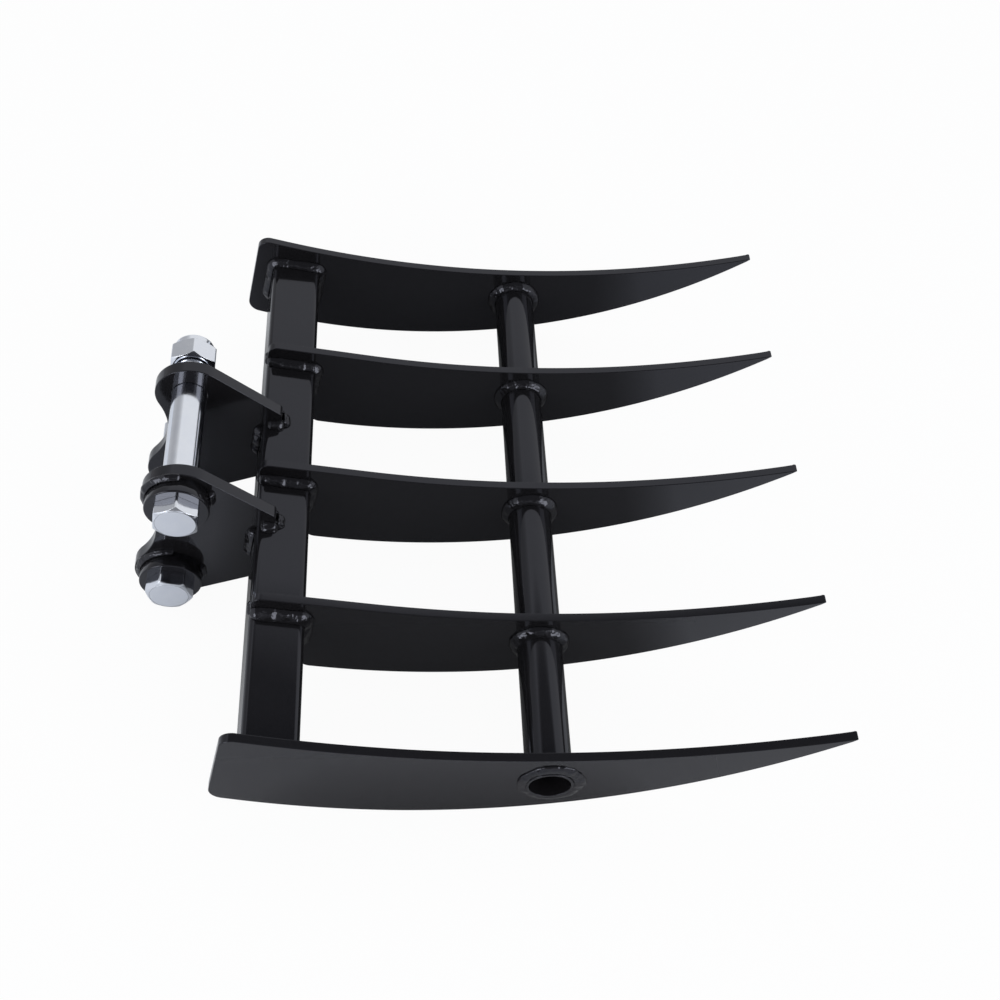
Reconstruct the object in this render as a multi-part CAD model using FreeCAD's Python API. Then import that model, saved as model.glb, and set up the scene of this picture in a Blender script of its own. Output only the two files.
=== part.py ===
import FreeCAD, Part
import math
import os

# Excavator rake: five curved pointed tine plates on a square crossbar, tied by a round pipe,
# with two hitch ears behind the crossbar and two hitch pins with locking nuts.
#
# Everything is drawn about the middle of the crossbar: X runs from the hitch to the tips,
# Y runs along the crossbar to the left end, and Z runs up to the hollow side of the tines.
# At the end the whole rake is tipped until the ears and tines both stand on the ground.

# Crossbar, a square tube
tube_side = 38.1
tube_wall = 3.0
tube_corner = 5.0

# Tine plates
overall_width = 457.2
tine_plate = 6.35
inner_tine_places = (114.4, -1.4, -117.6)
top_edge_radius = 745.0
top_edge_low = (110.6, 28.8)
bottom_edge_radius = 448.3
bottom_edge_low = (65.3, -46.8)
tip_thickness = 1.1
plate_edge_bevel = 0.45

# Closed rear end of the two end tines
rear_edge_offset = 33.8
rear_edge_lean = 4.6
rear_top_corner = 8.5
rear_bottom_corner = 11.0

# Lug of the inner tines, which lies on the crossbar
lug_straight_from = 60.0
lug_setback = 1.6
lug_corner = 7.0
heel_corner = 9.0

# Brace pipe through all the tines
pipe_outer = 31.75
pipe_wall = 1.9
pipe_place = (185.2, 3.7)
pipe_hole_gap = 0.25
pipe_stand_out = 3.0

# Hitch ears
ear_plate = 9.5
ear_gap = 85.0
ear_middle = 5.2
upper_eye_radius = 26.5
upper_eye_shift = (1.7, -1.2)
lower_eye_radius = 27.1
lower_eye_shift = (0.7, -1.2)
waist_radius = 57.0
hook_reach = 15.2
hook_height = 12.0
hook_corner = 4.0
lower_tongue_reach = 27.0
lower_edge_slope = 28.0

# Hitch pins, with the collars on the right ear and their locking nuts
pin_diameter = 25.0
pin_gap = 0.25
shoulder_stand_out = 15.0
upper_pin_place = (-71.3, 46.0)
lower_pin_place = (-75.4, -41.0)
boss_outer = 44.5
boss_length = 12.0
boss_edge = 1.2
hex_flats = 30.0
hex_chamfer_circle = 28.5
hex_chamfer_angle = 30.0
head_height = 11.0
thread_diameter = 20.0
thread_gap = 0.06
thread_stand_out = 2.0
thread_end_chamfer = 1.5
nut_flats = 32.0
nut_chamfer_circle = 30.4
nut_height = 23.0
nut_hex_height = 16.5
nut_collar_outer = 29.0
nut_collar_mouth = 24.0
nut_collar_round = 2.5
upper_head_turn = 29.0
lower_head_turn = 52.5
upper_nut_turn = 28.0
lower_nut_turn = 40.0

# Weld beads
tube_bead = 5.0
pipe_bead = 5.0
end_collar_bead = 7.0
boss_bead = 4.0
boss_bead_angles = ((85.0, 130.0), (-12.0, 36.0))
bead_fullness = 0.60
collar_fullness = 0.80
bead_lip = 0.3

V = FreeCAD.Vector
across = V(0, 1, 0)
half_tube = tube_side / 2
half_plate = tine_plate / 2
end_tine_y = (overall_width - tine_plate) / 2
shank_length = boss_length + 2 * ear_plate + ear_gap + shoulder_stand_out


def at(x, z, y=0.0):
    return V(x, y, z)


def on_circle(centre, radius, angle):
    """Point of a circle in the side view, with the angle counted up from +X."""
    turn = math.radians(angle)
    return centre[0] + radius * math.cos(turn), centre[1] + radius * math.sin(turn)


def below_centre(centre, radius, x):
    """Height of the lower half of a circle at x."""
    return centre[1] - math.sqrt(radius ** 2 - (x - centre[0]) ** 2)


def circles_meet(centre_a, radius_a, centre_b, radius_b, side):
    """Crossing of two circles, on the left (+1) or right (-1) of the line from a to b."""
    dx = centre_b[0] - centre_a[0]
    dz = centre_b[1] - centre_a[1]
    apart = math.hypot(dx, dz)
    along = (radius_a ** 2 - radius_b ** 2 + apart ** 2) / (2 * apart)
    aside = side * math.sqrt(radius_a ** 2 - along ** 2)
    x = centre_a[0] + (along * dx - aside * dz) / apart
    z = centre_a[1] + (along * dz + aside * dx) / apart
    return x, z


def line_meets_circle(point, angle, centre, radius):
    """First crossing of a circle by a line that starts at point and runs at angle."""
    dx = math.cos(math.radians(angle))
    dz = math.sin(math.radians(angle))
    px = point[0] - centre[0]
    pz = point[1] - centre[1]
    along = px * dx + pz * dz
    rest = math.sqrt(along ** 2 - (px ** 2 + pz ** 2 - radius ** 2))
    steps = sorted((-along - rest, -along + rest), key=abs)
    return point[0] + steps[0] * dx, point[1] + steps[0] * dz


def tangent_angle(point, centre, radius, side):
    """Direction from a point to the spot where its tangent touches a circle."""
    dx = centre[0] - point[0]
    dz = centre[1] - point[1]
    opening = math.degrees(math.asin(radius / math.hypot(dx, dz)))
    return math.degrees(math.atan2(dz, dx)) + side * opening


def line(start, end):
    return Part.LineSegment(at(*start), at(*end)).toShape()


def arc(start, middle, end):
    return Part.Arc(at(*start), at(*middle), at(*end)).toShape()


def plate(edges, y_middle, thickness):
    """Plate of the given outline in the side view, centred on y_middle."""
    face = Part.Face(Part.Wire(edges))
    face.translate(across * (y_middle - thickness / 2))
    return face.extrude(across * thickness)


def round_corner(solid, corner, radius):
    """Round the edge of a plate that runs across it at the corner."""
    picked = []
    for edge in solid.Edges:
        ends = [vertex.Point for vertex in edge.Vertexes]
        if len(ends) == 2 and all(math.hypot(p.x - corner[0], p.z - corner[1]) < 0.01 for p in ends):
            picked.append(edge)
    return solid.makeFillet(radius, picked)


def break_rim(solid, y_middle, thickness, width, skip):
    """Bevel the long edges where a plate's rim meets its two faces."""
    picked = []
    for edge in solid.Edges:
        if any(abs(v.Point.y - y_middle) < thickness / 2 - 0.01 for v in edge.Vertexes):
            continue
        if abs(edge.Vertexes[0].Point.y - edge.Vertexes[-1].Point.y) > 0.01:
            continue
        if skip(edge.CenterOfMass):
            continue
        picked.append(edge)
    return solid.makeChamfer(width, picked)


def drilled(solid, place, diameter):
    """Hole right across a plate."""
    reach = overall_width
    return solid.cut(Part.makeCylinder(diameter / 2, 2 * reach, at(place[0], place[1], -reach), across))


def tube_section(side, corner):
    """Rounded square about the crossbar's axis, as a wire in the side view."""
    half = side / 2
    inner = half - corner
    slant = inner + corner * math.sqrt(0.5)
    edges = []
    for turn in range(4):
        spin = FreeCAD.Rotation(across, -90 * turn)
        points = [at(half, -inner), at(half, inner), at(slant, slant), at(inner, half)]
        a, b, c, d = [spin.multVec(p) for p in points]
        edges.append(Part.LineSegment(a, b).toShape())
        edges.append(Part.Arc(b, c, d).toShape())
    return Part.Wire(edges)


# Edges that all the tines share
top_centre = (top_edge_low[0], top_edge_low[1] + top_edge_radius)
bottom_centre = (bottom_edge_low[0], bottom_edge_low[1] + bottom_edge_radius)
tip_low = circles_meet((top_centre[0], top_centre[1] - tip_thickness), top_edge_radius,
                       bottom_centre, bottom_edge_radius, 1)
tip_high = (tip_low[0], tip_low[1] + tip_thickness)
pipe_hole = pipe_outer + 2 * pipe_hole_gap


def top_edge_to(x):
    middle = (x + tip_high[0]) / 2
    return arc(tip_high, (middle, below_centre(top_centre, top_edge_radius, middle)),
               (x, below_centre(top_centre, top_edge_radius, x)))


def bottom_edge_from(x):
    middle = (x + tip_low[0]) / 2
    return arc((x, below_centre(bottom_centre, bottom_edge_radius, x)),
               (middle, below_centre(bottom_centre, bottom_edge_radius, middle)), tip_low)


def finished_tine(edges, corners, y_middle):
    """Tine plate with its corners rounded, its pipe hole and its bevelled rim."""
    solid = plate(edges, y_middle, tine_plate)
    for corner, radius in corners:
        solid = round_corner(solid, corner, radius)

    def at_crossbar(point):
        seat = half_tube + plate_edge_bevel
        return abs(point.x) < seat and abs(point.z) < seat

    solid = break_rim(solid, y_middle, tine_plate, plate_edge_bevel, at_crossbar)
    return drilled(solid, pipe_place, pipe_hole)


def end_tine(y_middle):
    """Tine that closes an end of the crossbar and runs on behind it."""
    lean = 90 - rear_edge_lean
    rear_top = line_meets_circle((-rear_edge_offset, 0), lean, top_centre, top_edge_radius)
    rear_low = line_meets_circle((-rear_edge_offset, 0), lean, bottom_centre, bottom_edge_radius)
    edges = [top_edge_to(rear_top[0]), line(rear_top, rear_low), bottom_edge_from(rear_low[0]),
             line(tip_low, tip_high)]
    corners = [(rear_top, rear_top_corner), (rear_low, rear_bottom_corner)]
    return finished_tine(edges, corners, y_middle)


def inner_tine(y_middle):
    """Tine with a lug on top of the crossbar and a heel against its front."""
    leaving = (lug_straight_from, below_centre(top_centre, top_edge_radius, lug_straight_from))
    slope = (leaving[0] - top_centre[0]) / (top_centre[1] - leaving[1])
    lug_end = -half_tube + lug_setback
    lug_top = (lug_end, leaving[1] + slope * (lug_end - leaving[0]))
    lug_foot = (lug_end, half_tube)
    notch = (half_tube, half_tube)
    heel = (half_tube, below_centre(bottom_centre, bottom_edge_radius, half_tube))
    edges = [top_edge_to(leaving[0]), line(leaving, lug_top), line(lug_top, lug_foot),
             line(lug_foot, notch), line(notch, heel), bottom_edge_from(heel[0]), line(tip_low, tip_high)]
    return finished_tine(edges, [(lug_top, lug_corner), (heel, heel_corner)], y_middle)


def crossbar_tube():
    length = 2 * (end_tine_y - half_plate)
    outer = Part.Face(tube_section(tube_side, tube_corner))
    bore = Part.Face(tube_section(tube_side - 2 * tube_wall, tube_corner - tube_wall))
    section = outer.cut(bore)
    section.translate(across * (-length / 2))
    return section.extrude(across * length)


def brace_pipe():
    length = overall_width + 2 * pipe_stand_out
    start = at(pipe_place[0], pipe_place[1], -length / 2)
    outer = Part.makeCylinder(pipe_outer / 2, length, start, across)
    bore = Part.makeCylinder(pipe_outer / 2 - pipe_wall, length, start, across)
    return outer.cut(bore)


def upper_eye():
    return upper_pin_place[0] + upper_eye_shift[0], upper_pin_place[1] + upper_eye_shift[1]


def lower_eye():
    return lower_pin_place[0] + lower_eye_shift[0], lower_pin_place[1] + lower_eye_shift[1]


def hitch_ear(y_middle):
    """Ear with two round eyes and a waist, which hooks over and under the crossbar."""
    upper = upper_eye()
    lower = lower_eye()
    hook_front = -half_tube + hook_reach
    hook_top = (hook_front, half_tube + hook_height)
    rise = tangent_angle(hook_top, upper, upper_eye_radius, -1)
    upper_touch = on_circle(upper, upper_eye_radius, rise - 90)
    waist = circles_meet(lower, lower_eye_radius + waist_radius, upper, upper_eye_radius + waist_radius, 1)
    upper_waist = math.degrees(math.atan2(waist[1] - upper[1], waist[0] - upper[0]))
    lower_waist = math.degrees(math.atan2(waist[1] - lower[1], waist[0] - lower[0]))
    upper_join = on_circle(upper, upper_eye_radius, upper_waist)
    lower_join = on_circle(lower, lower_eye_radius, lower_waist)
    waist_floor = (waist[0] + waist_radius, waist[1])
    upper_outer = on_circle(upper, upper_eye_radius, (rise - 90 + upper_waist % 360) / 2)
    fall = lower_edge_slope - 90
    lower_touch = on_circle(lower, lower_eye_radius, fall)
    lower_outer = on_circle(lower, lower_eye_radius, (lower_waist % 360 + fall % 360) / 2)
    tongue_end = -half_tube + lower_tongue_reach
    drop = (tongue_end - lower_touch[0]) * math.tan(math.radians(lower_edge_slope))
    tongue_low = (tongue_end, lower_touch[1] + drop)
    edges = [line((hook_front, 0), hook_top), line(hook_top, upper_touch),
             arc(upper_touch, upper_outer, upper_join), arc(upper_join, waist_floor, lower_join),
             arc(lower_join, lower_outer, lower_touch), line(lower_touch, tongue_low),
             line(tongue_low, (tongue_end, 0)), line((tongue_end, 0), (hook_front, 0))]
    solid = plate(edges, y_middle, ear_plate)
    solid = round_corner(solid, hook_top, hook_corner)
    solid = round_corner(solid, tongue_low, hook_corner)

    def at_crossbar(point):
        return abs(point.x) <= half_tube and abs(point.z) <= half_tube

    solid = break_rim(solid, y_middle, ear_plate, plate_edge_bevel, at_crossbar)
    bar = Part.Face(tube_section(tube_side, tube_corner))
    bar.translate(across * (y_middle - ear_plate))
    solid = solid.cut(bar.extrude(across * 2 * ear_plate))
    for place in (upper_pin_place, lower_pin_place):
        solid = drilled(solid, place, pin_diameter + 2 * pin_gap)
    return solid


def ear_face(side, outward):
    """Y of the face of the left (+1) or right (-1) ear that looks outward or inward."""
    inner = ear_middle + side * ear_gap / 2
    return inner + side * ear_plate if outward else inner


def boss(place):
    """Round collar on the outer face of the right ear, with its outer rim bevelled."""
    face = ear_face(-1, True)
    ring = Part.makeCylinder(boss_outer / 2, boss_length, at(place[0], place[1], face), across * -1)
    rim = [edge for edge in ring.Edges
           if len(edge.Vertexes) == 1 and abs(edge.Vertexes[0].Point.y - face) > boss_length / 2]
    ring = ring.makeChamfer(boss_edge, rim)
    return drilled(ring, place, pin_diameter + 2 * pin_gap)


def hexagon(place, y_start, height, turn, flats):
    """Hexagonal prism along +Y with a corner at the given angle in the side view."""
    reach = flats / 2 / math.cos(math.radians(30))
    corners = [at(*on_circle(place, reach, turn + 60 * k), y_start) for k in range(7)]
    return Part.Face(Part.makePolygon(corners)).extrude(across * height)


def chamfer_cone(place, y_face, outward, circle):
    """Cone that trims a hexagon's corners where it meets the face at y_face."""
    run = hex_flats
    small = circle / 2
    large = small + run / math.tan(math.radians(hex_chamfer_angle))
    return Part.makeCone(small, large, run, at(place[0], place[1], y_face), across * -outward)


def head_seat():
    return ear_face(-1, True) - boss_length


def hitch_pin(place, head_turn):
    """Pin with a hexagonal head, a plain shank and a stepped threaded end."""
    seat = head_seat()
    head = hexagon(place, seat - head_height, head_height, head_turn, hex_flats)
    head = head.common(chamfer_cone(place, seat - head_height, -1, hex_chamfer_circle))
    shank = Part.makeCylinder(pin_diameter / 2, shank_length, at(place[0], place[1], seat), across)
    thread_length = shank_length + nut_height + thread_stand_out
    thread = Part.makeCylinder(thread_diameter / 2, thread_length, at(place[0], place[1], seat), across)
    rim = [edge for edge in thread.Edges
           if len(edge.Vertexes) == 1 and edge.Vertexes[0].Point.y > seat + shank_length]
    thread = thread.makeChamfer(thread_end_chamfer, rim)
    return head.fuse(shank).fuse(thread).removeSplitter()


def nut(place, turn):
    """Locking nut on the shoulder of the pin: a hexagon with a rounded collar on its outer end."""
    seat = head_seat() + shank_length
    body = hexagon(place, seat, nut_hex_height, turn, nut_flats)
    body = body.common(chamfer_cone(place, seat, -1, nut_chamfer_circle))
    body = body.common(chamfer_cone(place, seat + nut_hex_height, 1, nut_chamfer_circle))
    start = at(place[0], place[1], seat)
    collar = Part.makeCylinder(nut_collar_outer / 2, nut_height, start, across)
    rim = [edge for edge in collar.Edges if len(edge.Vertexes) == 1 and edge.Vertexes[0].Point.y > seat + 1]
    collar = collar.makeFillet(nut_collar_round, rim)
    bore = Part.makeCylinder(thread_diameter / 2 + thread_gap, nut_height, start, across)
    mouth_start = start + across * nut_hex_height
    mouth = Part.makeCylinder(nut_collar_mouth / 2, nut_height - nut_hex_height, mouth_start, across)
    return body.fuse(collar).cut(bore).cut(mouth).removeSplitter()


def bead_section(corner, side_a, side_b, leg):
    """Section of a weld bead that stands proud between its two feet, in the corner of two faces."""
    foot_a = corner + side_a * leg
    foot_b = corner + side_b * leg
    crown = corner + (side_a + side_b) * (leg * bead_fullness)
    return Part.Face(Part.makePolygon([corner, foot_a, crown, foot_b, corner]))


def bead_bar(start, end, side_a, side_b, leg):
    """Straight weld bead from start to end in the corner of two faces."""
    return bead_section(start, side_a, side_b, leg).extrude(end - start)


def bead_ring(place, y_face, radius, leg, outward, first=0.0, sweep=360.0):
    """Weld bead around a round piece, on the face at y_face, from one angle of the side view on."""
    spin = FreeCAD.Rotation(across, -first)
    ray = spin.multVec(V(1, 0, 0))
    centre = at(place[0], place[1], y_face)
    section = bead_section(centre + ray * radius, ray, across * outward, leg)
    return section.revolve(centre, across, -sweep)


def tube_end_weld(y_face, inward):
    """Weld bead round the whole crossbar, on the inner face of an end tine."""
    wide = tube_section(tube_side + 2 * tube_bead, tube_corner + tube_bead)
    full = tube_section(tube_side + 2 * tube_bead * bead_fullness, tube_corner + tube_bead * bead_fullness)
    thin = tube_section(tube_side + 2 * bead_lip, tube_corner + bead_lip)
    wide.translate(across * y_face)
    full.translate(across * (y_face + inward * tube_bead * bead_fullness))
    thin.translate(across * (y_face + inward * tube_bead))
    mound = Part.makeLoft([wide, full, thin], True, True)
    bar = Part.Face(tube_section(tube_side, tube_corner))
    bar.translate(across * (y_face - tube_side))
    return mound.cut(bar.extrude(across * 2 * tube_side))


def lug_welds(y_middle):
    """Beads where an inner tine meets the crossbar, on its top and its front."""
    solids = []
    flat = half_tube - tube_corner
    lug_end = -half_tube + lug_setback
    for side in (1, -1):
        face = y_middle + side * half_plate
        out = across * side
        solids.append(bead_bar(at(lug_end, half_tube, face), at(flat, half_tube, face), out, V(0, 0, 1), tube_bead))
        solids.append(bead_bar(at(half_tube, flat, face), at(half_tube, -flat, face), out, V(1, 0, 0), tube_bead))
    return solids


def pipe_welds(y_middle, open_side):
    """Beads around the pipe on both faces of a tine, with a wide one round its open end."""
    solids = []
    for side in (1, -1):
        face = y_middle + side * half_plate
        if side == open_side:
            solids.append(collar_bead(face, side))
        else:
            solids.append(bead_ring(pipe_place, face, pipe_outer / 2, pipe_bead, side))
    return solids


def collar_bead(y_face, outward):
    """Low wide bead round the open end of the pipe."""
    inner = at(pipe_place[0] + pipe_outer / 2, pipe_place[1], y_face)
    foot = inner + V(end_collar_bead, 0, 0)
    lip = inner + across * outward * pipe_stand_out
    crown = inner + V(end_collar_bead * bead_fullness, 0, 0) + (lip - inner) * collar_fullness
    section = Part.Face(Part.makePolygon([inner, foot, crown, lip, inner]))
    return section.revolve(at(pipe_place[0], pipe_place[1], y_face), across, 360)


def ear_welds(side):
    """Beads where an ear meets the crossbar, on its top and its rear, and across the hook."""
    solids = []
    flat = half_tube - tube_corner
    hook_front = -half_tube + hook_reach
    for outward in (True, False):
        face = ear_face(side, outward)
        out = across * (side if outward else -side)
        solids.append(bead_bar(at(-flat, half_tube, face), at(hook_front, half_tube, face), out, V(0, 0, 1), tube_bead))
        solids.append(bead_bar(at(-half_tube, flat, face), at(-half_tube, -flat, face), out, V(-1, 0, 0), tube_bead))
    low = min(ear_face(side, True), ear_face(side, False))
    solids.append(bead_bar(at(hook_front, half_tube, low), at(hook_front, half_tube, low + ear_plate),
                           V(1, 0, 0), V(0, 0, 1), tube_bead))
    return Part.makeCompound(solids)


def boss_welds(place):
    """Beads round the foot of a collar on the right ear."""
    face = ear_face(-1, True)
    runs = [bead_ring(place, face, boss_outer / 2, boss_bead, -1, first, sweep)
            for first, sweep in boss_bead_angles]
    return Part.makeCompound(runs)


nodes = {}
crossbar_beads = []
pipe_beads = []
nodes["tine_left_end"] = end_tine(end_tine_y)
nodes["tine_right_end"] = end_tine(-end_tine_y)
for side in (1, -1):
    crossbar_beads.append(tube_end_weld(side * (end_tine_y - half_plate), -side))
    pipe_beads.extend(pipe_welds(side * end_tine_y, side))
for name, y_middle in zip(("left_inner", "middle", "right_inner"), inner_tine_places):
    nodes["tine_" + name] = inner_tine(y_middle)
    crossbar_beads.extend(lug_welds(y_middle))
    pipe_beads.extend(pipe_welds(y_middle, 0))
nodes["crossbar_tube"] = crossbar_tube()
nodes["brace_pipe"] = brace_pipe()
nodes["weld_tines_to_crossbar"] = Part.makeCompound(crossbar_beads)
nodes["weld_tines_to_pipe"] = Part.makeCompound(pipe_beads)
for side, hand in ((1, "left"), (-1, "right")):
    nodes["hitch_ear_" + hand] = hitch_ear((ear_face(side, True) + ear_face(side, False)) / 2)
    nodes["weld_ear_" + hand] = ear_welds(side)
for level, place, head_turn, nut_turn in (("upper", upper_pin_place, upper_head_turn, upper_nut_turn),
                                          ("lower", lower_pin_place, lower_head_turn, lower_nut_turn)):
    nodes["boss_" + level] = boss(place)
    nodes["weld_boss_" + level] = boss_welds(place)
    nodes["hitch_pin_" + level] = hitch_pin(place, head_turn)
    nodes["nut_" + level] = nut(place, nut_turn)

# The ground touches the lower eyes of the ears and the round undersides of the tines
lean_x = bottom_centre[0] - lower_eye()[0]
lean_z = bottom_centre[1] - lower_eye()[1]
opening = math.acos((bottom_edge_radius - lower_eye_radius) / math.hypot(lean_x, lean_z))
rest_tip = math.degrees(opening - math.atan2(lean_x, lean_z))
spin = FreeCAD.Placement(V(0, 0, 0), FreeCAD.Rotation(across, rest_tip))
for name in nodes:
    nodes[name] = nodes[name].transformed(spin.toMatrix())
box = Part.makeCompound(list(nodes.values())).optimalBoundingBox(False, False)
to_ground = V(-(box.XMin + box.XMax) / 2, -(box.YMin + box.YMax) / 2, -box.ZMin)

os.makedirs("parts", exist_ok=True)
for name, shape in nodes.items():
    shape.translate(to_ground)
    shape.exportStep("parts/" + name + ".step")
print(len(nodes), "pieces, tipped by", round(rest_tip, 2), "degrees, moved by", to_ground)
print("box", round(box.XLength, 1), round(box.YLength, 1), round(box.ZLength, 1))
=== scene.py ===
import math

import bpy
from mathutils import Matrix, Vector, geometry, noise


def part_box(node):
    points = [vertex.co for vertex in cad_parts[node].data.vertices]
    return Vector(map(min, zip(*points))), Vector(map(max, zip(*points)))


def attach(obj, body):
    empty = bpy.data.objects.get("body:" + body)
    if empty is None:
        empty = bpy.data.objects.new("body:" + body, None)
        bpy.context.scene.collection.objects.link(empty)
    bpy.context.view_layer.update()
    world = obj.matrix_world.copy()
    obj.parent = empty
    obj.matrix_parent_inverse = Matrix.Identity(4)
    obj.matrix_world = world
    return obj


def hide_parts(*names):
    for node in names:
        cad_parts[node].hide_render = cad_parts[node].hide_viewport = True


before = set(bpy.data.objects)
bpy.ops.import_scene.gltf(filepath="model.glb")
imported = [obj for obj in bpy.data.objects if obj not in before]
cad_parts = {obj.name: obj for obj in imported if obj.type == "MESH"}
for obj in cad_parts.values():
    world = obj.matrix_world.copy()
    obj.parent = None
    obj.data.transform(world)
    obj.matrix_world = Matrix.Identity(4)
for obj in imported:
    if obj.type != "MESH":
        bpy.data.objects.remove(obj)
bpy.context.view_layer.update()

# Sizes in millimetres, in the drawing of the rake: the origin is the middle of the crossbar,
# X runs from the hitch to the tips, Y to the left end and Z up to the hollow side of the tines.
MM = 0.001

TUBE_SIDE = 38.1
TUBE_CORNER = 5.0
TUBE_WALL = 3.0
TUBE_INNER_CORNER = 2.0
TUBE_TURN = -4.2
OVERALL_WIDTH = 457.2
TINE_PLATE = 6.35
INNER_TINES = (("left_inner", 114.4), ("middle", -1.4), ("right_inner", -117.6))
TOP_RADIUS = 745.0
TOP_LOW = (110.6, 28.8)
BOTTOM_RADIUS = 448.3
BOTTOM_LOW = (65.3, -46.8)
TIP_THICKNESS = 1.1
TIP_CORNER = 0.495
TIP_RUN = 2.5
TIP_ROUND = 1.3
TIP_ROUND_REACH = 3.5
THIN_RIM_REACH = 9.0
THIN_RIM_SHARE = 0.35
REAR_OFFSET = 33.8
REAR_LEAN = 4.6
REAR_TOP_CORNER = 8.5
REAR_BOTTOM_CORNER = 11.0
LUG_STRAIGHT_FROM = 60.0
LUG_SETBACK = 1.6
LUG_CORNER = 7.0
HEEL_CORNER = 9.0
SMALL_CORNER = 0.6
CORNER_GAP = 0.5
PLATE_RIM = 0.55
NEAR_TIP_RISE = 3.4
BEND_FROM = 90.0
BEND_GROWTH = 1.3
BEND_PULL = 0.14
SWING_TO = 165.0
SWING = {"right_inner": 1.5}

PIPE_OUTER = 31.75
PIPE_WALL = 1.9
PIPE_PLACE = (185.2, 3.7)
PIPE_HOLE_GAP = 0.25
PIPE_STAND_OUT = 3.0
PIPE_RIM = 0.6
PIPE_BORE_RIM = 0.5

EAR_PLATE = 9.5
EAR_GAP = 85.0
EAR_MIDDLE = 5.2
UPPER_EYE_RADIUS = 26.5
UPPER_EYE_SHIFT = (1.7, -1.2)
LOWER_EYE_RADIUS = 27.1
LOWER_EYE_SHIFT = (0.7, -1.2)
WAIST_RADIUS = 57.0
HOOK_REACH = 15.2
HOOK_HEIGHT = 12.0
HOOK_CORNER = 4.0
TONGUE_REACH = 27.0
LOWER_SLOPE = 28.0

PIN_DIAMETER = 25.0
PIN_GAP = 0.25
SHOULDER_STAND_OUT = 15.0
UPPER_PIN = (-71.3, 46.0)
LOWER_PIN = (-75.4, -41.0)
BOSS_OUTER = 44.5
BOSS_LENGTH = 12.0
BOSS_RIM = 1.2
BOSS_BORE_RIM = 0.4
HEX_FLATS = 30.0
HEX_CIRCLE = 28.5
HEX_SLOPE = 30.0
HEX_EDGE_LOSS = 0.186
HEX_EDGE_BLEND = 0.35
HEAD_HEIGHT = 11.0
HEAD_EDGE = 0.15
HEAD_EDGE_SCALE = 0.985
SHOULDER_EDGE = 0.5
THREAD_DIAMETER = 20.0
THREAD_PITCH = 2.5
THREAD_DEPTH = 1.3
THREAD_STAND_OUT = 2.0
THREAD_GAP = 0.02
THREAD_CREST = 1.55
THREAD_FLANK = 4.0
THREAD_CHAMFER = 1.5
THREAD_END_SHARE = 0.25
THREAD_END_TAPER = 0.25
THREAD_END_INSET = 0.4
THREAD_LAST_GAP = 0.2
NUT_FLATS = 32.0
NUT_CIRCLE = 30.4
NUT_HEIGHT = 23.0
NUT_HEX_HEIGHT = 16.5
NUT_COLLAR = 29.0
NUT_MOUTH = 24.0
NUT_ROUND = 2.5
NUT_BORE_GAP = 0.06
NUT_FILLET = 0.4
NUT_EDGE = 0.5
NUT_LIP = 0.1
NUT_LIP_INSET = 0.35
NUT_POCKET_GAP = 0.6
UPPER_HEAD_TURN = 29.0
LOWER_HEAD_TURN = 52.5
UPPER_NUT_TURN = 28.0
LOWER_NUT_TURN = 40.0

TUBE_BEAD = 5.9
TUBE_END_BEAD = 5.723
SWUNG_LUG_BEAD = 7.1
LUG_REAR_BEAD = 3.4
PIPE_BEAD = 5.9
PIPE_END_BEAD = 2.52
BOSS_BEAD = 3.4
BEAD_BURIED = 0.3

ARC_STEP = 9.0
EDGE_STEPS = 60
EYE_STEPS = 44
WAIST_STEPS = 16
HOOK_STEPS = 8
HOLE_STEPS = 72
RIM_STEPS = 4
LATHE_STEPS = 96
HEX_STEPS = 144
THREAD_STEPS = 10
COLLAR_STEPS = 8

UP = Vector((0, 0, 1))
FRONT = Vector((1, 0, 0))
LEFT = Vector((0, 1, 0))

HALF_TUBE = TUBE_SIDE / 2
HALF_PLATE = TINE_PLATE / 2
END_TINE_Y = (OVERALL_WIDTH - TINE_PLATE) / 2


# Where the drawing lies in the frame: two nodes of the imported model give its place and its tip
def box_middle(node):
    low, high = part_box(node)
    return (Vector(low) + Vector(high)) / 2


crossbar_middle = box_middle("crossbar_tube")
to_pipe = box_middle("brace_pipe") - crossbar_middle
REST_TIP = math.atan2(PIPE_PLACE[1], PIPE_PLACE[0]) - math.atan2(to_pipe.z, to_pipe.x)
PLACED = Matrix.Translation(crossbar_middle) @ Matrix.Rotation(REST_TIP, 4, "Y")
TO_FRAME = PLACED @ Matrix.Scale(MM, 4)


# Side-view outlines
def circles_meet(centre_a, radius_a, centre_b, radius_b, side):
    dx = centre_b[0] - centre_a[0]
    dz = centre_b[1] - centre_a[1]
    apart = math.hypot(dx, dz)
    along = (radius_a ** 2 - radius_b ** 2 + apart ** 2) / (2 * apart)
    aside = side * math.sqrt(radius_a ** 2 - along ** 2)
    return (centre_a[0] + (along * dx - aside * dz) / apart,
            centre_a[1] + (along * dz + aside * dx) / apart)


def line_meets_circle(point, angle, centre, radius):
    dx = math.cos(math.radians(angle))
    dz = math.sin(math.radians(angle))
    px = point[0] - centre[0]
    pz = point[1] - centre[1]
    along = px * dx + pz * dz
    rest = math.sqrt(along ** 2 - (px ** 2 + pz ** 2 - radius ** 2))
    step = min((-along - rest, -along + rest), key=abs)
    return point[0] + step * dx, point[1] + step * dz


def on_circle(centre, radius, angle):
    turn = math.radians(angle)
    return centre[0] + radius * math.cos(turn), centre[1] + radius * math.sin(turn)


def bearing(centre, point):
    """Angle in degrees at which a point lies from a centre."""
    return math.degrees(math.atan2(point[1] - centre[1], point[0] - centre[0]))


def below(centre, radius, x):
    return centre[1] - math.sqrt(radius ** 2 - (x - centre[0]) ** 2)


def between(first, last, count):
    return [first + (last - first) * k / count for k in range(count + 1)]


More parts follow.
